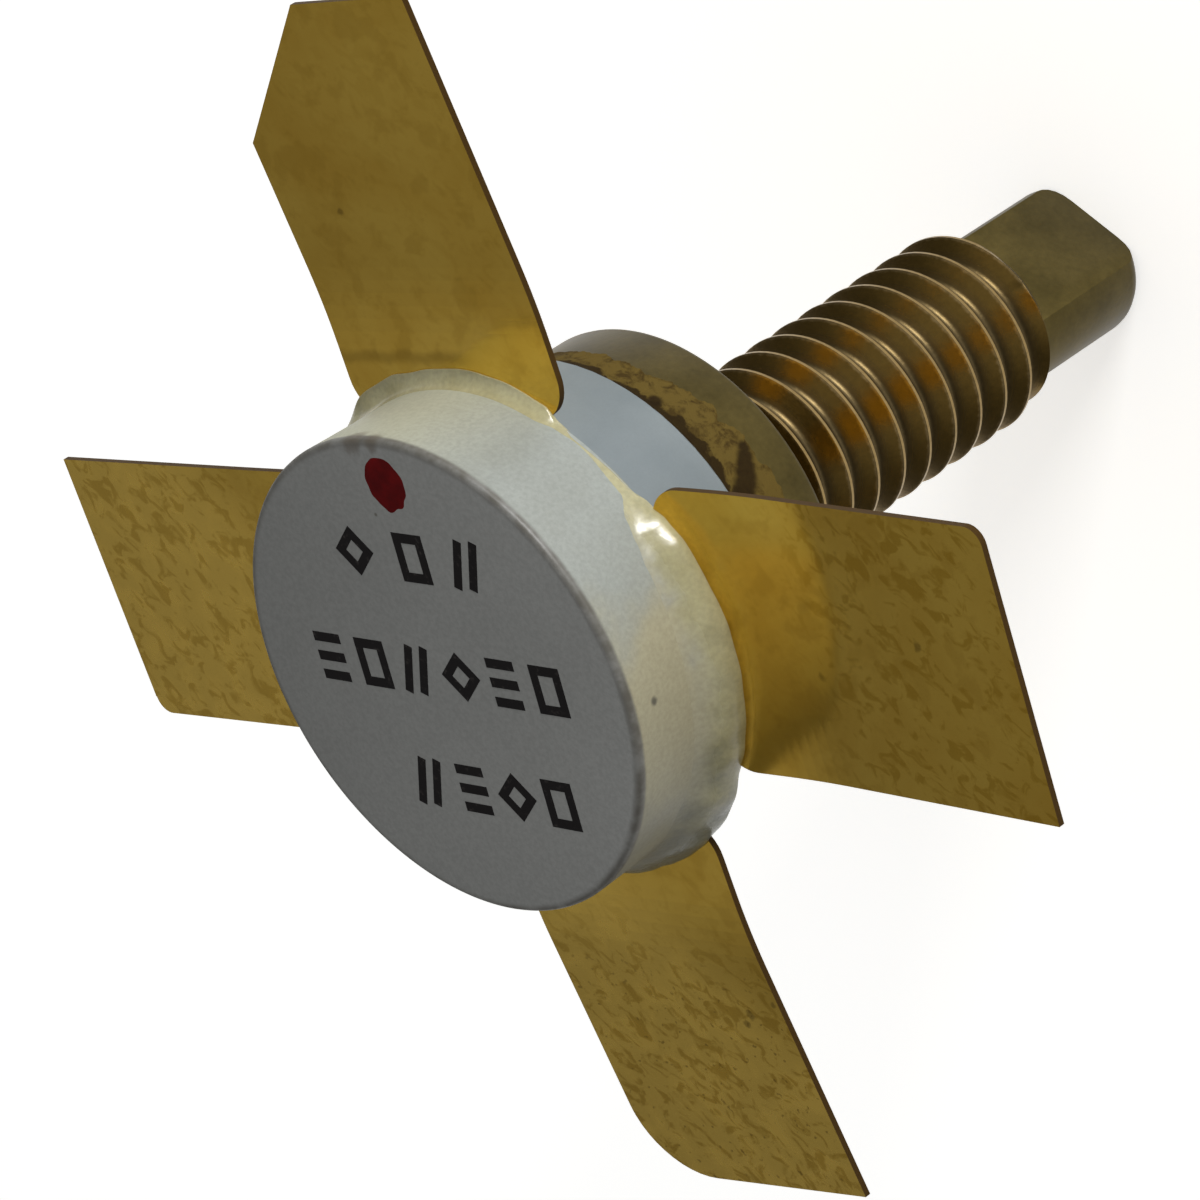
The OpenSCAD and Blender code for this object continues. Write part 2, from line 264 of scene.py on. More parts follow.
# The side is a lighter cream on the left and away from the dot end, partly its own cream tone and
# partly painted light where the soft box lights it less, and greyer at the far end, a painted shade
for measure, start, end, tint in ((xyz["X"], 3, 0, "#a5a694"), (toward_dot_end, 4.8, 2.8, "#a09c84"),
                                  (toward_dot_end, 0.2, -2.2, "#83847b")):
    mask = add(alumina, "MapRange", {
        **SOFT, "Value": measure, "From Min": start * MM, "From Max": end * MM})[0]
    side = add(alumina, "Mix", {**COLOURS, FACTOR: mask, UNDER: side, OVER: tint})[RESULT]
below = add(alumina, "MapRange", {
    **SOFT, "Value": xyz["Z"], "From Min": (CAP_TOP - 0.1) * MM,
    "From Max": (CAP_TOP - 0.2) * MM})[0]
body = add(alumina, "Mix", {**COLOURS, FACTOR: below, UNDER: face, OVER: side})[RESULT]
grainy = add(alumina, "ValToRGB", {
    "Fac": grain, "stops": ((0.35, "#909090"), (0.65, "#ffffff"))})[0]
body = add(alumina, "Mix", {
    **COLOURS, "blend_type": "MULTIPLY", FACTOR: 0.2, UNDER: body, OVER: grainy})[RESULT]
print("alumina has", len(alumina.node_tree.nodes), "nodes so far")

# %% Dirt on the alumina
outer = add(alumina, "MapRange", {
    **SOFT, "Value": radius, "From Min": (CAP_R - 0.2) * MM, "From Max": (CAP_R - 0.04) * MM})[0]
upper = add(alumina, "MapRange", {
    **SOFT, "Value": xyz["Z"], "From Min": (CAP_TOP - 0.22) * MM,
    "From Max": (CAP_TOP - 0.1) * MM})[0]
patchy = add(alumina, "MapRange", {
    **SOFT, "Value": speck, "From Min": 0.3, "From Max": 0.65, "To Min": 0.45, "To Max": 0.95})[0]
rim = add(alumina, "Math", {"operation": "MULTIPLY", 0: outer, 1: upper})[0]
rim = add(alumina, "Math", {"operation": "MULTIPLY", 0: rim, 1: patchy})[0]
smudge = spots(alumina, place, speck, [(-0.25, 4.78, 6.62, 0.32), (0.25, 4.76, 6.6, 0.26)])
smudge = add(alumina, "Math", {"operation": "MULTIPLY", 0: smudge, 1: 0.6})[0]
pits = spots(alumina, place, speck, [(4.87, -0.47, 6.04, 0.14), (4.6, -1.65, 5.5, 0.05),
                                     (3.9, 2.95, 5.3, 0.04), (-0.25, 3.35, 6.69, 0.05)])
for mask, tint in ((rim, "#4b4840"), (smudge, "#4a4133"), (pits, "#55534a")):
    body = add(alumina, "Mix", {**COLOURS, FACTOR: mask, UNDER: body, OVER: tint})[RESULT]

pores = add(alumina, "Bump", {"Height": grain, "Strength": 0.35, "Distance": 0.01 * MM})
matt = add(alumina, "MapRange", {
    **SOFT, "Value": cloud, "From Min": 0.3, "From Max": 0.7, "To Min": 0.5, "To Max": 0.66})[0]
surface = add(alumina, "BsdfPrincipled", {
    "Base Color": body, "Roughness": matt, "IOR": 1.6, "Normal": pores[0]})
add(alumina, "OutputMaterial", {"Surface": surface[0]})
print("alumina has", len(alumina.node_tree.nodes), "nodes")

# %% [markdown]
# ## The cap
# The cap is a pressed lid: a flat face with a tight rim, sides that draw in a hair below it, and a
# round cavity over the chips. A revolved section with a small bevel on the rim gives the thin roll
# of light that a CAD chamfer can't.

# %% Model the cap
CAVITY_R, CAVITY_TOP, DRAFT, DRAFT_FROM, RIM_ROUND = 3.725, 5.79, 0.03, 1.2, 0.11

bm = bmesh.new()
revolve(bm, [(0, CAP_TOP), (CAP_R, CAP_TOP), (CAP_R - DRAFT, CAP_FLOOR + DRAFT_FROM),
             (CAP_R - DRAFT, CAP_FLOOR), (CAVITY_R, CAP_FLOOR), (CAVITY_R, CAVITY_TOP),
             (0, CAVITY_TOP)], steps=256)
rim_edges = [e for e in bm.edges if all(
    v.co.z > (CAP_TOP - 0.01) * MM and v.co.xy.length > (CAP_R - 0.01) * MM for v in e.verts)]
soften(bm, rim_edges, RIM_ROUND, segments=4)
make_piece("alumina_cap", bm, alumina, ["cap"], sharp=50)

# %% [markdown]
# ## The red dot
# A dab of red enamel marks the collector. A drop of paint settles into a low dome with a soft,
# uneven edge, so a disc is raised in the middle, its rim is nudged by noise, and one more face
# closes it from below.

# %% Enamel for the dot
enamel, place = start_material("red_enamel")
worn = add(enamel, "TexNoise", {"Vector": place, "Scale": per_mm(0.3), "Detail": 3})["Fac"]
red = add(enamel, "ValToRGB", {"Fac": worn, "stops": ((0.35, "#4c0002"), (0.7, "#600204"))})[0]
surface = add(enamel, "BsdfPrincipled", {
    "Base Color": red, "Roughness": 0.7, "IOR": 1.45, "Specular IOR Level": 0.12})
add(enamel, "OutputMaterial", {"Surface": surface[0]})
print("enamel has", len(enamel.node_tree.nodes), "nodes")

# %% Model the dot
DOT_AT, DOT_R, DOT_T = Vector((0.29, 3.97)), 0.5, 0.018
DOT_STRETCH, DOT_WAVE, WAVES_ROUND = 1.08, 0.12, 2.3

bm = bmesh.new()
bmesh.ops.create_circle(bm, cap_ends=True, cap_tris=True, segments=64, radius=DOT_R * MM)
bmesh.ops.subdivide_edges(bm, edges=[e for e in bm.edges if min(
    v.co.length for v in e.verts) < 1e-9], cuts=5)
for v in bm.verts:
    out = v.co.length / (DOT_R * MM)
    wave = 1 + DOT_WAVE * noise.noise(v.co.normalized() * WAVES_ROUND) * out
    dome = DOT_T * (1 - out ** 4)
    v.co = Vector((v.co.x * wave + DOT_AT.x * MM, v.co.y * wave * DOT_STRETCH + DOT_AT.y * MM,
                   (CAP_TOP + dome) * MM))
bmesh.ops.contextual_create(bm, geom=[e for e in bm.edges if e.is_boundary])
make_piece("red_dot", bm, enamel)

# %% [markdown]
# ## Ink marks
# Rows of plain shapes are rubber-stamped on the face in black ink. Each is a four-cornered disc,
# scaled and turned by one matrix, inset to leave an outline where it has a stroke, and given the
# few microns of thickness that dried ink has.

# %% Ink for the marks
ink, place = start_material("stamping_ink")
worn = add(ink, "TexNoise", {
    "Vector": place, "Scale": per_mm(0.14), "Detail": 4, "Roughness": 0.65})["Fac"]
black = add(ink, "ValToRGB", {"Fac": worn, "stops": ((0.58, "#0d0909"), (0.76, "#3a3633"))})[0]
surface = add(ink, "BsdfPrincipled", {
    "Base Color": black, "Roughness": 0.7, "Specular IOR Level": 0.2})
add(ink, "OutputMaterial", {"Surface": surface[0]})
print("ink has", len(ink.node_tree.nodes), "nodes")

# %% One mark at a time
INK_T, INK_TOP, STROKE, ROW_TILT = 0.008, 0.006, 0.2, math.radians(-3.5)


def stamp(bm, x, y, wide, tall, turn=0, stroke=0):
    """A flat four-cornered shape, or its outline where a stroke is given."""
    matrix = (Matrix.Rotation(ROW_TILT, 4, "Z") @ Matrix.Translation((x * MM, y * MM, 0))
              @ Matrix.Rotation(math.radians(turn), 4, "Z") @ Matrix.Diagonal((wide, tall, 1, 1))
              @ Matrix.Rotation(math.radians(45), 4, "Z"))
    made = bmesh.ops.create_circle(bm, cap_ends=True, segments=4, radius=MM / math.sqrt(2),
                                   matrix=matrix)
    face = made["verts"][0].link_faces[0]
    if stroke:
        bmesh.ops.inset_region(bm, faces=[face], thickness=stroke * MM,
                               use_even_offset=True, use_boundary=True)
        bmesh.ops.delete(bm, geom=[face], context="FACES_ONLY")


def frame_mark(bm, x, y):
    stamp(bm, x, y, 0.78, 1.0, 0, STROKE)


def diamond_mark(bm, x, y):
    stamp(bm, x, y, 0.72, 0.72, 45, STROKE)


def dash_mark(bm, x, y):
    for up in (-0.4, 0, 0.4):
        stamp(bm, x, y + up, 0.72, STROKE)


def slant_mark(bm, x, y):
    for across in (-0.2, 0.2):
        stamp(bm, x + across, y, STROKE, 1.05, -18)


# %% Stamp the marks
# Height of a row, places along it and kinds of mark
ROWS = [(2.5, (-1.35, 0.2, 1.6), (diamond_mark, frame_mark, slant_mark)),
        (0.12, (-2.9, -1.75, -0.6, 0.6, 1.75, 2.9),
         (dash_mark, frame_mark, slant_mark, diamond_mark, dash_mark, frame_mark)),
        (-2.3, (-1.15, 0.05, 1.2, 2.35), (slant_mark, dash_mark, diamond_mark, frame_mark))]

bm = bmesh.new()
for y, columns, kinds in ROWS:
    for x, kind in zip(columns, kinds):
        kind(bm, x, y)
bmesh.ops.recalc_face_normals(bm, faces=bm.faces)
for face in bm.faces:
    if face.normal.z < 0:
        face.normal_flip()
bmesh.ops.solidify(bm, geom=bm.faces[:], thickness=INK_T * MM)
lift = (CAP_TOP + INK_TOP) * MM - max(v.co.z for v in bm.verts)
bmesh.ops.translate(bm, verts=bm.verts, vec=(0, 0, lift))
make_piece("ink_marks", bm, ink)

# %% [markdown]
# ## Epoxy
# Cream filled epoxy holds the cap. It is poured, so it is glossy and lumpy, and a little light
# passes into it. Up against the cap it is nearly as white as the cap, and where it thins out on the
# gold it turns tan. Height and radius tell the material which is which, and noise breaks up both.
# By direction it carries painted light and shade: a lighter cream away from the dot end and a
# greyer far end.

# %% Patterns on the epoxy
LEAD_TOP = 4.22

epoxy, place = start_material("filled_epoxy")
lumps = add(epoxy, "TexNoise", {
    "Vector": place, "Scale": per_mm(0.9), "Detail": 4, "Roughness": 0.55})["Fac"]
fine = add(epoxy, "TexNoise", {"Vector": place, "Scale": per_mm(0.1), "Detail": 3})["Fac"]
xyz = add(epoxy, "SeparateXYZ", {"Vector": place})
flat = add(epoxy, "Mapping", {"Vector": place, "Scale": (1, 1, 0)})[0]
radius = add(epoxy, "VectorMath", {"operation": "LENGTH", 0: flat})["Value"]
toward_dot_end = add(epoxy, "Math", {
    "operation": "MULTIPLY_ADD", 0: lumps, 1: 5 * MM, 2: xyz["Y"]})[0]
# Painted light and shade: off_dot lightens the side away from the dot end, where the soft box lights
# it less, and far_end darkens the end that faces away from the box
off_dot = add(epoxy, "MapRange", {
    **SOFT, "Value": toward_dot_end, "From Min": 4.8 * MM, "From Max": 2.8 * MM})[0]
far_end = add(epoxy, "MapRange", {
    **SOFT, "Value": toward_dot_end, "From Min": 0.2 * MM, "From Max": -2.2 * MM})[0]
reach = add(epoxy, "Math", {"operation": "MULTIPLY_ADD", 0: lumps, 1: 0.16 * MM, 2: radius})[0]
thin = add(epoxy, "MapRange", {
    **SOFT, "Value": reach, "From Min": (CAP_R + 0.3) * MM, "From Max": (CAP_R + 0.5) * MM,
    "To Max": 0.5})[0]
height = add(epoxy, "Math", {
    "operation": "MULTIPLY_ADD", 0: lumps, 1: 0.5 * MM, 2: xyz["Z"]})[0]
top = add(epoxy, "MapRange", {
    **SOFT, "Value": height, "From Min": (LEAD_TOP + 0.6) * MM,
    "From Max": (LEAD_TOP + 1.1) * MM})[0]
print("epoxy has", len(epoxy.node_tree.nodes), "nodes so far")

# %% Colours of the epoxy
cream = add(epoxy, "ValToRGB", {
    "Fac": lumps, "stops": ((0.35, "#9b9570"), (0.62, "#a7a280"))})[0]
# The far_end tints on the cream and on the white are painted shade; the off_dot tint on the white is
# partly its cream tone, partly painted light
for mask, tint in ((thin, "#8f8763"), (far_end, "#7b7c6e")):
    cream = add(epoxy, "Mix", {**COLOURS, FACTOR: mask, UNDER: cream, OVER: tint})[RESULT]
white = "#92958f"
for mask, tint in ((off_dot, "#a29e86"), (far_end, "#83847b")):
    white = add(epoxy, "Mix", {**COLOURS, FACTOR: mask, UNDER: white, OVER: tint})[RESULT]
colour = add(epoxy, "Mix", {**COLOURS, FACTOR: top, UNDER: cream, OVER: white})[RESULT]
grainy = add(epoxy, "ValToRGB", {
    "Fac": fine, "stops": ((0.35, "#909090"), (0.65, "#ffffff"))})[0]
colour = add(epoxy, "Mix", {
    **COLOURS, "blend_type": "MULTIPLY", FACTOR: 0.2, UNDER: colour, OVER: grainy})[RESULT]

# Fine skin all over, and wrinkles at the far end only
skin = add(epoxy, "Bump", {"Height": fine, "Strength": 0.3, "Distance": 0.012 * MM})
wrinkling = add(epoxy, "Math", {"operation": "MULTIPLY", 0: far_end, 1: 0.6})[0]
wrinkled = add(epoxy, "Bump", {
    "Height": lumps, "Strength": wrinkling, "Distance": 0.12 * MM, "Normal": skin[0]})
gloss = add(epoxy, "MapRange", {**SOFT, "Value": top, "To Min": 0.26, "To Max": 0.55})[0]
surface = add(epoxy, "BsdfPrincipled", {
    "Base Color": colour, "Roughness": gloss, "IOR": 1.55, "Subsurface Weight": 0.2,
    "Subsurface Radius": (1, 0.9, 0.7), "Subsurface Scale": 0.2 * MM, "Normal": wrinkled[0]})
add(epoxy, "OutputMaterial", {"Surface": surface[0]})
print("epoxy has", len(epoxy.node_tree.nodes), "nodes")

# %% [markdown]
# ## The epoxy bead
# The bead creeps out over each lead and changes all the way round: a thin hollow film on the
# collector lead, a fat round roll on the others, a bare undercut in one gap and a bulge in the
# next. So it starts as an even ring whose section is a quarter circle. Then every point is moved to
# where the table puts its angle of that quarter: how far out, how high up, and how round.

# %% Shape of the bead by direction
PAD_Z, CERAMIC_R = 4.06, 4.4
# Direction, reach past the cap, lift of the foot, climb up the cap, 0 hollow to 1 round
BEAD = [(-180, 0.40, 0, 0.8, 0.9), (-152, 0.38, 0, 0.8, 0.9), (-143, 0.2, 0.03, 0.6, 0.9),
        (-128, 0.2, 0.03, 0.6, 0.9), (-118, 0.40, 0, 0.8, 0.9), (-70, 0.42, 0, 0.95, 1),
        (-60, 0.44, 0, 1.05, 1), (-42, 0.42, 0, 1.1, 1), (-34, 0.33, 0, 1.0, 1),
        (-26, 0.40, 0, 0.98, 1), (-10, 0.43, 0, 0.95, 1), (1, 0.41, 0, 0.9, 1),
        (11, 0.36, 0, 0.85, 1), (20, 0.32, 0, 0.8, 1), (26, 0.22, 0, 0.7, 1),
        (31, 0.06, 0.01, 0.6, 1), (36, -0.02, 0.08, 0.3, 0.9), (53, -0.03, 0.1, 0.14, 0.8),
        (58, -0.01, 0.05, 0.2, 0.6), (63, 0.15, 0, 0.32, 0.4), (75, 0.24, 0, 0.3, 0.1),
        (86, 0.28, 0, 0.3, 0), (99, 0.28, 0, 0.3, 0), (112, 0.37, 0, 0.3, 0),
        (122, 0.37, 0, 0.4, 0.3), (130, 0.27, 0, 0.6, 0.8), (148, 0.24, 0.03, 0.7, 0.9),
        (156, 0.38, 0, 0.8, 0.9), (180, 0.40, 0, 0.8, 0.9)]
print("directions given for the bead:", len(BEAD))

# %% Spin the even ring
bm = bmesh.new()
QUARTER = [(CAP_R + math.cos(math.radians(a)), LEAD_TOP + math.sin(math.radians(a)))
           for a in range(0, 91, 9)]
revolve(bm, [(CAVITY_R, PAD_Z), (CERAMIC_R, PAD_Z), (CAP_R + 1, LEAD_TOP - 0.1)] + QUARTER
        + [(CAP_R - 0.1, LEAD_TOP + 1), (CAP_R - 0.1, CAP_FLOOR + 0.02),
           (CAVITY_R, CAP_FLOOR + 0.02)], steps=360)
print("points on the ring:", len(bm.verts))

# %% Shape the bead
# Height of the foot over the lead, thickness of its edge, and how far the top is sunk in the cap
FOOT, FOOT_EDGE, SUNK = 0.03, 0.05, 0.035
for v in bm.verts:
    r, z = v.co.xy.length / MM, v.co.z / MM
    reach, lift, climb, roundness = between(BEAD, math.degrees(math.atan2(v.co.y, v.co.x)))
    reach *= 1 + 0.1 * noise.noise(v.co.xy.normalized().to_3d() * 7)
    if z < LEAD_TOP - FOOT_EDGE and r > CAP_R:
        new_r, new_z = CAP_R + reach - 0.015, LEAD_TOP - FOOT_EDGE + lift
    elif r > CAP_R - 0.01 and z > LEAD_TOP - 0.01:
        turn = math.atan2(z - LEAD_TOP, r - CAP_R)
        out = roundness * math.cos(turn) ** 2 + (1 - roundness) * (1 - math.sin(turn))
        up = roundness * turn / (math.pi / 2) + (1 - roundness) * (1 - math.cos(turn))
        new_r = CAP_R - SUNK + (reach + SUNK) * out
        new_z = LEAD_TOP + FOOT + lift + climb * up
        lump = noise.noise(Vector((v.co.x, v.co.y, new_z * MM)) / MM * 2.1)
        new_r += 0.09 * reach * lump * out
    elif z > LEAD_TOP + 0.5:
        new_r, new_z = r, LEAD_TOP + FOOT + lift + climb
    else:
        continue
    v.co.x *= new_r / r
    v.co.y *= new_r / r
    v.co.z = new_z * MM
make_piece("epoxy_bead", bm, epoxy, ["epoxy_seal"], sharp=60)

# %% [markdown]
# ## Beryllia
# The disc under the leads is beryllia, a ceramic that carries heat almost like metal. It is fired
# and ground, so it is smoother and bluer than the cap, with a fine even grain.

# %% Beryllia for the disc
beryllia, place = start_material("ground_beryllia")
grain = add(beryllia, "TexNoise", {
    "Vector": place, "Scale": per_mm(0.06), "Detail": 3, "Roughness": 0.6})["Fac"]
cloud = add(beryllia, "TexNoise", {"Vector": place, "Scale": per_mm(1.6), "Detail": 3})["Fac"]
pale = add(beryllia, "ValToRGB", {
    "Fac": cloud, "stops": ((0.35, "#5e686c"), (0.65, "#6a7376"))})[0]
colour = add(beryllia, "Mix", {
    **COLOURS, "blend_type": "MULTIPLY", FACTOR: 0.15, UNDER: pale, OVER: grain})[RESULT]
pores = add(beryllia, "Bump", {"Height": grain, "Strength": 0.3, "Distance": 0.006 * MM})
surface = add(beryllia, "BsdfPrincipled", {
    "Base Color": colour, "Roughness": 0.5, "IOR": 1.7, "Normal": pores[0]})
add(beryllia, "OutputMaterial", {"Surface": surface[0]})
print("beryllia has", len(beryllia.node_tree.nodes), "nodes")

# %% [markdown]
# ## Gold on the leads
# The leads are cut from thin nickel-iron strip and plated with gold. They are bright enough to
# mirror the cap, but fingers have left cloudy stains, smears and a few dark specks, which show as
# changes of colour and of roughness more than of height. The base lead and the left emitter lead
# are paler and rougher. The cut edges are plated too; their dull dark brown is a painted dark
# reflection.

# %% Patterns on the leads
lead_gold, place = start_material("gold_plated_strip")
cloud = add(lead_gold, "TexNoise", {
    "Vector": place, "Scale": per_mm(2.4), "Detail": 4, "Roughness": 0.55,
    "Distortion": 0.4})["Fac"]
stain = add(lead_gold, "TexNoise", {
    "Vector": place, "Scale": per_mm(0.7), "Detail": 3, "Roughness": 0.55,
    "Distortion": 0.3})["Fac"]
wiped = add(lead_gold, "Mapping", {
    "vector_type": "TEXTURE", "Vector": place, "Rotation": (0, 0, -0.75), "Scale": (1.4, 1, 1)})[0]
smear = add(lead_gold, "TexNoise", {
    "Vector": wiped, "Scale": per_mm(0.36), "Detail": 3, "Roughness": 0.55,
    "Distortion": 1.1})["Fac"]
dust = add(lead_gold, "TexNoise", {
    "Vector": place, "Scale": per_mm(0.16), "Detail": 2, "Roughness": 0.5})["Fac"]
xyz = add(lead_gold, "SeparateXYZ", {"Vector": place})
print("lead gold has", len(lead_gold.node_tree.nodes), "nodes so far")

# %% Where the leads are stained, made paler and smeared
stained = add(lead_gold, "MapRange", {
    **SOFT, "Value": stain, "From Min": 0.5, "From Max": 0.36, "To Max": 0.3})[0]
# The base lead and the left emitter lead are made paler and rougher
both = add(lead_gold, "Math", {"operation": "ADD", 0: xyz["X"], 1: xyz["Y"]})[0]
paler_rougher_leads = add(lead_gold, "MapRange", {
    **SOFT, "Value": both, "From Min": -3.5 * MM, "From Max": -7 * MM})[0]

# Smears lie mostly on the outer ends of three leads
ends = 0
for axis, start, end, most in (("Y", -5.5, -8.5, 1), ("X", 6.5, 8.5, 1), ("X", -6, -8, 0.7)):
    one_end = add(lead_gold, "MapRange", {
        **SOFT, "Value": xyz[axis], "From Min": start * MM, "From Max": end * MM,
        "To Max": most})[0]
    ends = add(lead_gold, "Math", {"operation": "MAXIMUM", 0: ends, 1: one_end})[0]
ends = add(lead_gold, "MapRange", {**SOFT, "Value": ends, "To Min": 0.2})[0]
smeared = add(lead_gold, "MapRange", {
    **SOFT, "Value": smear, "From Min": 0.5, "From Max": 0.37, "To Max": 0.6})[0]
smeared = add(lead_gold, "Math", {"operation": "MULTIPLY", 0: smeared, 1: ends})[0]
print("lead gold has", len(lead_gold.node_tree.nodes), "nodes so far")

# %% Specks, marks and a line of flux on the leads
# Specks lie mostly at the end of the base lead
base_end = add(lead_gold, "MapRange", {
    **SOFT, "Value": xyz["Y"], "From Min": -6 * MM, "From Max": -9 * MM, "To Min": 0.1})[0]
specks = add(lead_gold, "MapRange", {
    **SOFT, "Value": dust, "From Min": 0.35, "From Max": 0.28, "To Max": 0.6})[0]
specks = add(lead_gold, "Math", {"operation": "MULTIPLY", 0: specks, 1: base_end})[0]
marks = spots(lead_gold, place, dust, [
    (2.1, -8.55, 4.0, 0.12), (2.3, -8.35, 4.02, 0.14), (3.05, -8.0, 4.05, 0.1),
    (10.2, 0.2, 4.52, 0.14), (-1.3, 8.36, 4.41, 0.1), (7.35, -0.7, 4.33, 0.12)])
marks = add(lead_gold, "Math", {"operation": "MULTIPLY", 0: marks, 1: 0.5})[0]

# A brown line where flux dried along the foot of the bead, on the collector lead
FLUX_AT = 5.5
flux = add(lead_gold, "Math", {
    "operation": "MULTIPLY_ADD", 0: stain, 1: 0.3 * MM, 2: xyz["Y"]})[0]
flux = add(lead_gold, "Math", {"operation": "SUBTRACT", 0: flux, 1: FLUX_AT * MM})[0]
flux = add(lead_gold, "Math", {"operation": "ABSOLUTE", 0: flux})[0]
flux = add(lead_gold, "MapRange", {
    **SOFT, "Value": flux, "From Min": 0.2 * MM, "From Max": 0.02 * MM, "To Max": 0.35})[0]
left_half = add(lead_gold, "MapRange", {
    **SOFT, "Value": xyz["X"], "From Min": 0.9 * MM, "From Max": 0.2 * MM})[0]
flux = add(lead_gold, "Math", {"operation": "MULTIPLY", 0: flux, 1: left_half})[0]
print("lead gold has", len(lead_gold.node_tree.nodes), "nodes so far")

# %% Gold for the leads
EDGE_ROUGHNESS = 0.5271

gold = add(lead_gold, "ValToRGB", {
    "Fac": cloud, "stops": ((0.36, "#d8ae43"), (0.62, "#e3bc50"))})[0]
for mask, tint in ((stained, "#b48c2b"), (paler_rougher_leads, "#f2cb5f"), (smeared, "#b88d1c"),
                   (specks, "#8a681c"), (marks, "#6f5516"), (flux, "#745614")):
    gold = add(lead_gold, "Mix", {**COLOURS, FACTOR: mask, UNDER: gold, OVER: tint})[RESULT]

# The cut edges are the faces that look sideways. They are plated too; the mask named plated only
# marks the faces that look up or down
normal = add(lead_gold, "NewGeometry", {})["Normal"]
upwards = add(lead_gold, "SeparateXYZ", {"Vector": normal})["Z"]
upwards = add(lead_gold, "Math", {"operation": "ABSOLUTE", 0: upwards})[0]
plated = add(lead_gold, "MapRange", {
    **SOFT, "Value": upwards, "From Min": 0.5, "From Max": 0.7})[0]
# Painted dark reflection: the cut edges get a dark brown, matt, non-metal finish in place of gold
colour = add(lead_gold, "Mix", {
    **COLOURS, FACTOR: plated, UNDER: "#3d2b10", OVER: gold})[RESULT]

dents = add(lead_gold, "Bump", {"Height": cloud, "Strength": 0.3, "Distance": 0.006 * MM})
gloss = add(lead_gold, "MapRange", {
    **SOFT, "Value": stain, "From Min": 0.35, "From Max": 0.6, "To Min": 0.16,
    "To Max": 0.11})[0]
gloss = add(lead_gold, "Math", {"operation": "MULTIPLY_ADD", 0: paler_rougher_leads, 1: 0.12, 2: gloss})[0]
rough = add(lead_gold, "Mix", {"data_type": "FLOAT", 0: plated, 2: EDGE_ROUGHNESS, 3: gloss})[0]
surface = add(lead_gold, "BsdfPrincipled", {
    "Base Color": colour, "Metallic": plated, "Specular IOR Level": 0.05, "Roughness": rough,
    "Normal": dents[0]})
add(lead_gold, "OutputMaterial", {"Surface": surface[0]})
print("lead gold has", len(lead_gold.node_tree.nodes), "nodes")

# %% [markdown]
# ## Gold on the stud
# The copper stud is turned, threaded and plated. The flange and the tang have dulled to olive. On
# the thread the plating is thin: copper shows through brown in the valleys, and nuts have rubbed
# the crests to a pale line. So radius colours the thread, and height says where the thread is.

# %% Patterns on the stud
THREAD_R, THREAD_END = 2.06, -9.4

stud_gold, place = start_material("tarnished_gold_plate")
cloud = add(stud_gold, "TexNoise", {
    "Vector": place, "Scale": per_mm(1.6), "Detail": 4, "Roughness": 0.6})["Fac"]
fine = add(stud_gold, "TexNoise", {
    "Vector": place, "Scale": per_mm(0.12), "Detail": 3, "Roughness": 0.6})["Fac"]
xyz = add(stud_gold, "SeparateXYZ", {"Vector": place})
flat = add(stud_gold, "Mapping", {"Vector": place, "Scale": (1, 1, 0)})[0]
radius = add(stud_gold, "VectorMath", {"operation": "LENGTH", 0: flat})["Value"]
flank = add(stud_gold, "MapRange", {
    **SOFT, "Value": radius, "From Min": (THREAD_R - 0.45) * MM,
    "From Max": (THREAD_R - 0.15) * MM})[0]
crest = add(stud_gold, "Math", {
    "operation": "MULTIPLY_ADD", 0: fine, 1: 0.09 * MM, 2: radius})[0]
crest = add(stud_gold, "MapRange", {
    **SOFT, "Value": crest, "From Min": (THREAD_R - 0.01) * MM,
    "From Max": (THREAD_R + 0.04) * MM})[0]
under_flange = add(stud_gold, "MapRange", {
    **SOFT, "Value": xyz["Z"], "From Min": 0, "From Max": -0.02 * MM})[0]
over_tang = add(stud_gold, "MapRange", {
    **SOFT, "Value": xyz["Z"], "From Min": (THREAD_END - 0.02) * MM,
    "From Max": (THREAD_END + 0.02) * MM})[0]
on_thread = add(stud_gold, "Math", {
    "operation": "MULTIPLY", 0: under_flange, 1: over_tang})[0]
print("stud gold has", len(stud_gold.node_tree.nodes), "nodes so far")

# %% Gold for the stud
olive = add(stud_gold, "ValToRGB", {
    "Fac": cloud, "stops": ((0.35, "#463d20"), (0.65, "#574c2a"))})[0]
screw = add(stud_gold, "ValToRGB", {
    "Fac": cloud, "stops": ((0.35, "#433a29"), (0.65, "#534935"))})[0]
for mask, tint in ((flank, "#6e582b"), (crest, "#917b52")):
    screw = add(stud_gold, "Mix", {**COLOURS, FACTOR: mask, UNDER: screw, OVER: tint})[RESULT]
colour = add(stud_gold, "Mix", {
    **COLOURS, FACTOR: on_thread, UNDER: olive, OVER: screw})[RESULT]
colour = add(stud_gold, "Mix", {
    **COLOURS, "blend_type": "OVERLAY", FACTOR: 0.25, UNDER: colour, OVER: fine})[RESULT]
worn = add(stud_gold, "Math", {"operation": "MULTIPLY", 0: on_thread, 1: flank})[0]
gloss = add(stud_gold, "MapRange", {**SOFT, "Value": worn, "To Min": 0.42, "To Max": 0.24})[0]
tarnish = add(stud_gold, "Bump", {"Height": fine, "Strength": 0.35, "Distance": 0.008 * MM})
surface = add(stud_gold, "BsdfPrincipled", {
    "Base Color": colour, "Metallic": 1, "Roughness": gloss, "Normal": tarnish[0]})
add(stud_gold, "OutputMaterial", {"Surface": surface[0]})
print("stud gold has", len(stud_gold.node_tree.nodes), "nodes")

# %% [markdown]
# ## The threaded stud
# The CAD model cuts the thread as rings. Here it is a true screw: one tooth of the profile is swept
# up a helix by a spin that also climbs, 32 turns to the inch. Each turn ends where the next begins,
# so merging doubles welds one closed screw. It starts more than a turn below its end and goes on
# above the seat, so both cuts meet whole turns.

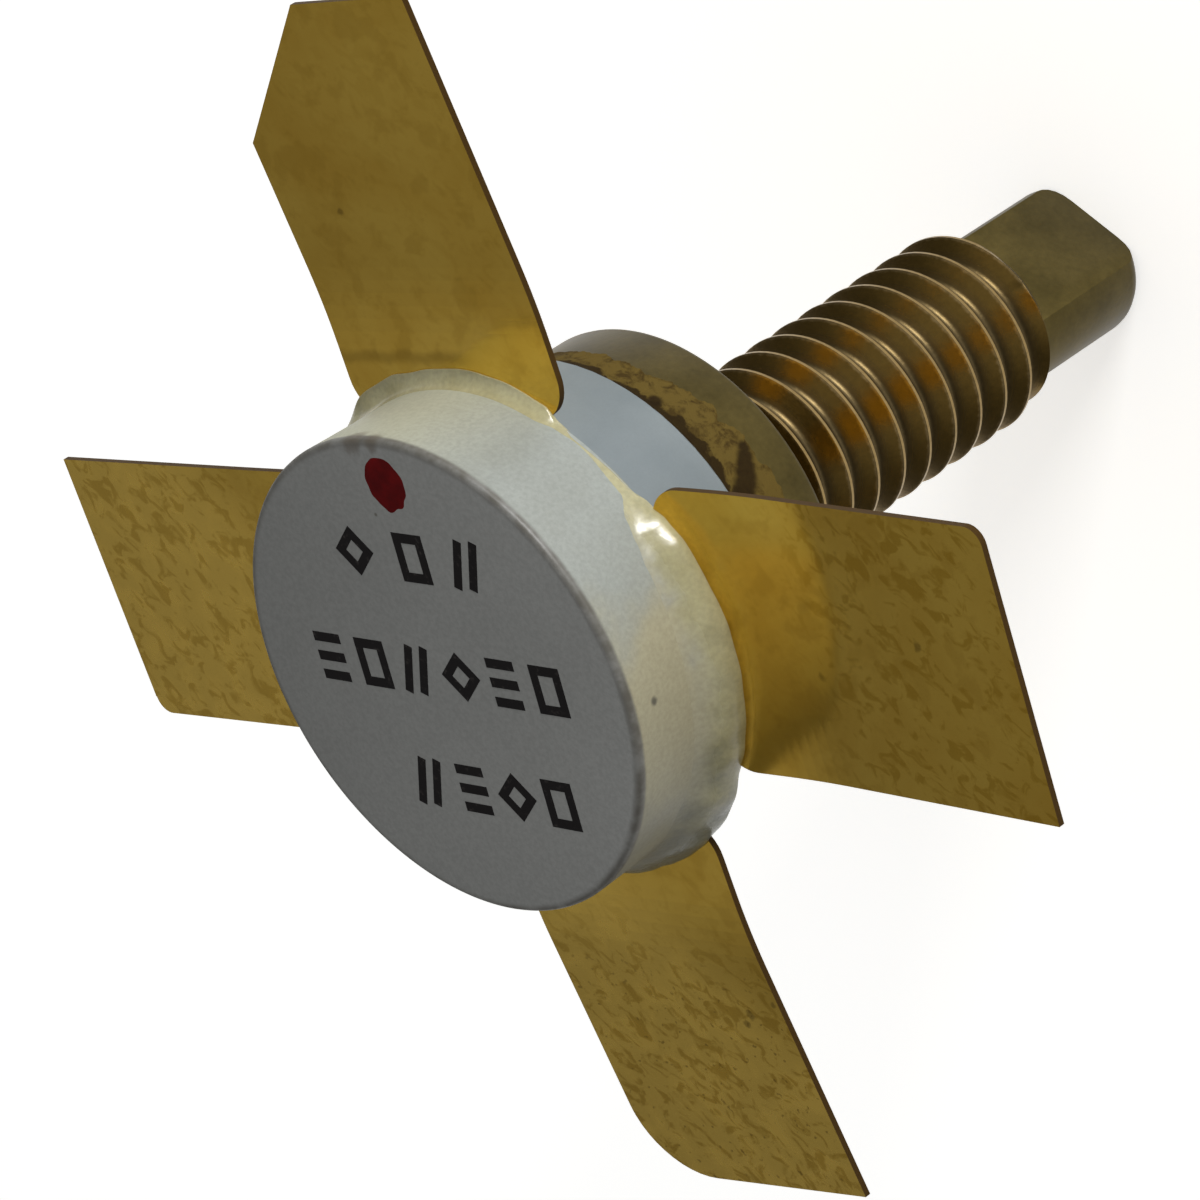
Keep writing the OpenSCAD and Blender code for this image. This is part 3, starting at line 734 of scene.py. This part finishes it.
# %% Sweep the thread
PITCH = 25.4 / 32
TAPER, TURNS, STEPS_A_TURN = 0.45, 14, 72
SWEEP_START, THREAD_TOP = THREAD_END - 0.5 - PITCH, 0.1
# Height along the tooth and depth below the crest
TOOTH = [(0.0, 0.02), (0.02, 0.0), (0.08, 0.0), (0.1, 0.02), (0.33, 0.32), (0.39, 0.365),
         (0.45, 0.38), (0.51, 0.365), (0.57, 0.32)]

thread = bmesh.new()
points = [thread.verts.new(((THREAD_R - deep) * MM, 0, (SWEEP_START + up) * MM))
          for up, deep in TOOTH + [(PITCH, TOOTH[0][1])]]
edges = [thread.edges.new(pair) for pair in zip(points, points[1:])]
bmesh.ops.spin(thread, geom=points + edges, cent=(0, 0, 0), axis=(0, 0, 1),
               dvec=(0, 0, PITCH * MM / STEPS_A_TURN), angle=2 * math.pi * TURNS,
               steps=TURNS * STEPS_A_TURN)
bmesh.ops.remove_doubles(thread, verts=thread.verts, dist=0.002 * MM)
for v in thread.verts:
    allowed = (THREAD_R - TAPER) * MM + max(v.co.z - THREAD_END * MM, -0.1 * MM)
    if v.co.xy.length > allowed:
        v.co.xy *= allowed / v.co.xy.length
slice_off(thread, (0, 0, THREAD_END * MM), (0, 0, -1))
slice_off(thread, (0, 0, THREAD_TOP * MM), (0, 0, 1))
print("points on the thread:", len(thread.verts))

# %% Turn the tang and the flange
TANG_R, TANG_FLATS, TANG_END, TANG_TURN = 1.625, 2.1, -12.6, math.radians(50)
TANG_ROUND, FLAT_ROUND, SHARP = 0.4, 0.05, 30
FLANGE_R, FLANGE_T, FLANGE_ROUND = 4.075, 2.0, 0.12

tang = bmesh.new()
revolve(tang, [(0, THREAD_END + 0.1), (TANG_R, THREAD_END + 0.1), (TANG_R, TANG_END),
               (0, TANG_END)], steps=96)
soften(tang, [e for e in tang.edges if all(
    v.co.z < (TANG_END + 0.01) * MM and v.co.xy.length > 1 * MM for v in e.verts)],
    TANG_ROUND, segments=5)
for side in (1, -1):
    across = Vector((math.cos(TANG_TURN), math.sin(TANG_TURN), 0)) * side
    slice_off(tang, across * TANG_FLATS / 2 * MM, across)
soften(tang, sharp_edges(tang, SHARP), FLAT_ROUND)
add_mesh(thread, tang)

flange = bmesh.new()
revolve(flange, [(0, FLANGE_T), (FLANGE_R, FLANGE_T), (FLANGE_R, 0), (0, 0)])
soften(flange, sharp_edges(flange, SHARP), FLANGE_ROUND)
add_mesh(thread, flange)
make_piece("threaded_stud", thread, stud_gold, ["stud"], sharp=40)

# %% [markdown]
# ## Braze
# Braze has run out under the ceramic and down the flange: a rough tan skin with a ragged lower
# edge, brown with rust against the ceramic and darkened there by painted shadow under the ceramic's
# overhang, with one dark run. The skin is a thin ring. A table gives how low it hangs where the eye
# can see it, and noise of two sizes tears the edge.

# %% Braze for the joint
braze, place = start_material("braze_residue")
mottle = add(braze, "TexNoise", {
    "Vector": place, "Scale": per_mm(0.3), "Detail": 4, "Roughness": 0.65,
    "Distortion": 0.4})["Fac"]
cloud = add(braze, "TexNoise", {"Vector": place, "Scale": per_mm(0.9), "Detail": 3})["Fac"]
height = add(braze, "SeparateXYZ", {"Vector": place})["Z"]
for wobble, size in ((cloud, 1.0), (mottle, 0.5)):
    height = add(braze, "Math", {
        "operation": "MULTIPLY_ADD", 0: wobble, 1: size * MM, 2: height})[0]
# Painted shadow: the top of the braze, under the overhang of the ceramic, is darkened over its brown
# rust
rust_and_shadow = add(braze, "MapRange", {
    **SOFT, "Value": height, "From Min": 2.43 * MM, "From Max": 2.52 * MM, "To Max": 0.9})[0]

# The dark run, by direction in degrees, height and size
RUN_R = 4.12
RUN = [(31.5, 0.98, 0.24), (29.5, 1.08, 0.26), (27.5, 1.2, 0.26), (25.5, 1.34, 0.28),
       (23.5, 1.46, 0.28), (21.5, 1.58, 0.3), (19.5, 1.7, 0.3), (55, 1.7, 0.2)]
run = spots(braze, place, cloud, [
    (RUN_R * math.cos(math.radians(a)), RUN_R * math.sin(math.radians(a)), z, size)
    for a, z, size in RUN])
run = add(braze, "Math", {"operation": "MULTIPLY", 0: run, 1: 0.9})[0]

tan = add(braze, "ValToRGB", {
    "Fac": mottle, "stops": ((0.36, "#3a2d12"), (0.52, "#564720"))})[0]
# The dark band at the top, under the ceramic, is painted shadow over brown rust; the run is a dark
# drip
for mask, tint in ((rust_and_shadow, "#1e1406"), (run, "#1f1507")):
    tan = add(braze, "Mix", {**COLOURS, FACTOR: mask, UNDER: tan, OVER: tint})[RESULT]
rough = add(braze, "Bump", {"Height": mottle, "Strength": 0.6, "Distance": 0.03 * MM})
surface = add(braze, "BsdfPrincipled", {
    "Base Color": tan, "Roughness": 0.75, "Specular IOR Level": 0.05, "Normal": rough[0]})
add(braze, "OutputMaterial", {"Surface": surface[0]})
print("braze has", len(braze.node_tree.nodes), "nodes")

# %% Model the braze
# Direction and height of the lower edge
BRAZE_EDGE = [(-180, 1.1), (-120, 0.95), (-60, 1.15), (0, 0.9), (17, 0.76), (22, 0.76), (28, 0.92),
              (34, 0.78), (41, 0.98), (45, 0.85), (50, 1.0), (56, 1.06), (65, 1.2), (80, 1.16),
              (110, 1.25), (140, 1.0), (180, 1.1)]
BRAZE_TOP, BRAZE_IN, SKIN_IN = 2.06, CERAMIC_R - 1.2, FLANGE_R - 0.05

bm = bmesh.new()
revolve(bm, [(BRAZE_IN, BRAZE_TOP), (FLANGE_R + 0.24, BRAZE_TOP), (FLANGE_R + 0.1, 1.95),
             (FLANGE_R + 0.05, 1.84), (FLANGE_R + 0.045, 1.7), (FLANGE_R + 0.035, 1.0),
             (SKIN_IN, 1.0), (SKIN_IN, 1.7), (SKIN_IN, 1.9), (BRAZE_IN, 1.9)], steps=720)
for v in bm.verts:
    if v.co.z < 1.1 * MM:
        around = v.co.xy.normalized().to_3d()
        edge = between(BRAZE_EDGE, math.degrees(math.atan2(v.co.y, v.co.x)))[0]
        v.co.z = (edge + 0.07 * noise.noise(around * 14) + 0.05 * noise.noise(around * 45)) * MM
make_piece("braze_skin", bm, braze, ["flange_braze"], sharp=60)

# %% [markdown]
# ## Inside the cap
# Nobody sees the pads, chips and wires unless the cap comes off, but each still gets its own
# finish: bright gold on the pads and wires, and the dark blue-grey of polished silicon.

# %% Gold and silicon inside the cap
pad_gold, place = start_material("gold_metallised_pad")
fine = add(pad_gold, "TexNoise", {"Vector": place, "Scale": per_mm(0.08), "Detail": 3})["Fac"]
bright = add(pad_gold, "ValToRGB", {
    "Fac": fine, "stops": ((0.3, "#c79c45"), (0.7, "#e0bb66"))})[0]
surface = add(pad_gold, "BsdfPrincipled", {
    "Base Color": bright, "Metallic": 1, "Roughness": 0.4})
add(pad_gold, "OutputMaterial", {"Surface": surface[0]})

silicon, place = start_material("polished_silicon")
tint = add(silicon, "TexNoise", {"Vector": place, "Scale": per_mm(0.6), "Detail": 2})["Fac"]
blue = add(silicon, "ValToRGB", {"Fac": tint, "stops": ((0.3, "#4a525c"), (0.7, "#6d7784"))})[0]
surface = add(silicon, "BsdfPrincipled", {
    "Base Color": blue, "Metallic": 0.8, "Roughness": 0.15})
add(silicon, "OutputMaterial", {"Surface": surface[0]})
print("finishes inside the cap:", pad_gold.name, silicon.name)

# %% Give the CAD solids their finishes
FINISHES = {
    beryllia: ["ceramic_base"],
    lead_gold: ["collector_lead", "base_lead", "emitter_lead_right", "emitter_lead_left"],
    pad_gold: ["collector_pad", "base_pad", "emitter_pad",
               "base_wires", "capacitor_wires", "emitter_wires"],
    silicon: ["transistor_die", "input_capacitor"],
}
for material, names in FINISHES.items():
    for name in names:
        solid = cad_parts[name]
        solid.data.materials.clear()
        solid.data.materials.append(material)
print("finished in place:", sum(len(names) for names in FINISHES.values()), "solids")

# %% [markdown]
# ## Floor and light
# The photograph is cut out on white and lit softly from one side. A floor that only glows for the
# camera and for reflections is white without lighting the part from below, and still shows its
# shadow. One wide soft box stands beside the part, and a grey sky that is brightest overhead fills
# the shadows, as the ceiling of a room does.

# %% White floor
FLOOR_Z, FLOOR_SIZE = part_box("stud")[0].z, 3

paper, _ = start_material("white_paper")
ray = add(paper, "LightPath", {})
seen = 0
for kind in ("Is Camera Ray", "Is Glossy Ray", "Is Transmission Ray"):
    seen = add(paper, "Math", {"operation": "MAXIMUM", 0: seen, 1: ray[kind]})[0]
strength = add(paper, "Math", {"operation": "MULTIPLY", 0: seen, 1: 0.56})[0]
glow = add(paper, "Emission", {"Strength": strength})
matt = add(paper, "BsdfDiffuse", {"Color": "#f2f2f0"})
both = add(paper, "AddShader", {0: glow[0], 1: matt[0]})
add(paper, "OutputMaterial", {"Surface": both[0]})

bm = bmesh.new()
bmesh.ops.create_grid(bm, x_segments=1, y_segments=1, size=FLOOR_SIZE)
bmesh.ops.translate(bm, verts=bm.verts, vec=(0, 0, FLOOR_Z))
floor_mesh = bpy.data.meshes.new("floor")
bm.to_mesh(floor_mesh)
bm.free()
floor_mesh.materials.append(paper)
floor = bpy.data.objects.new("floor", floor_mesh)
bpy.context.scene.collection.objects.link(floor)
print("floor height in mm:", round(FLOOR_Z / MM, 2))

# %% Soft box
BOX_AZIMUTH, BOX_DISTANCE, BOX_HEIGHT = math.radians(52), 0.22, 0.024
BOX_SIZE, BOX_POWER = (0.075, 0.045), 0.52
LIT_POINT = Vector((0, 0, 0.005))

soft_box = bpy.data.lights.new("soft_box", "AREA")
soft_box.shape = "RECTANGLE"
soft_box.size, soft_box.size_y = BOX_SIZE
soft_box.energy = BOX_POWER
box = bpy.data.objects.new("soft_box", soft_box)
box_at = Vector((math.cos(BOX_AZIMUTH) * BOX_DISTANCE, math.sin(BOX_AZIMUTH) * BOX_DISTANCE,
                 BOX_HEIGHT))
box.matrix_world = (Matrix.Translation(box_at)
                    @ (LIT_POINT - box_at).to_track_quat("-Z", "Y").to_matrix().to_4x4())
bpy.context.scene.collection.objects.link(box)
print("soft box distance in mm:", round((LIT_POINT - box_at).length / MM, 1))

# %% Sky
sky = bpy.data.worlds.new("grey_sky")
bpy.context.scene.world = sky
sky.use_nodes = True
sky.node_tree.nodes.clear()
direction = add(sky, "TexCoord", {})["Generated"]
up = add(sky, "SeparateXYZ", {"Vector": direction})["Z"]
bright = add(sky, "MapRange", {
    **SOFT, "Value": up, "From Min": 0.42, "From Max": 0.92, "To Min": 0.18, "To Max": 0.82})[0]
background = add(sky, "Background", {"Strength": bright})
add(sky, "OutputWorld", {"Surface": background[0]})
bpy.context.scene.view_settings.view_transform = "Standard"
print("sky has", len(sky.node_tree.nodes), "nodes")
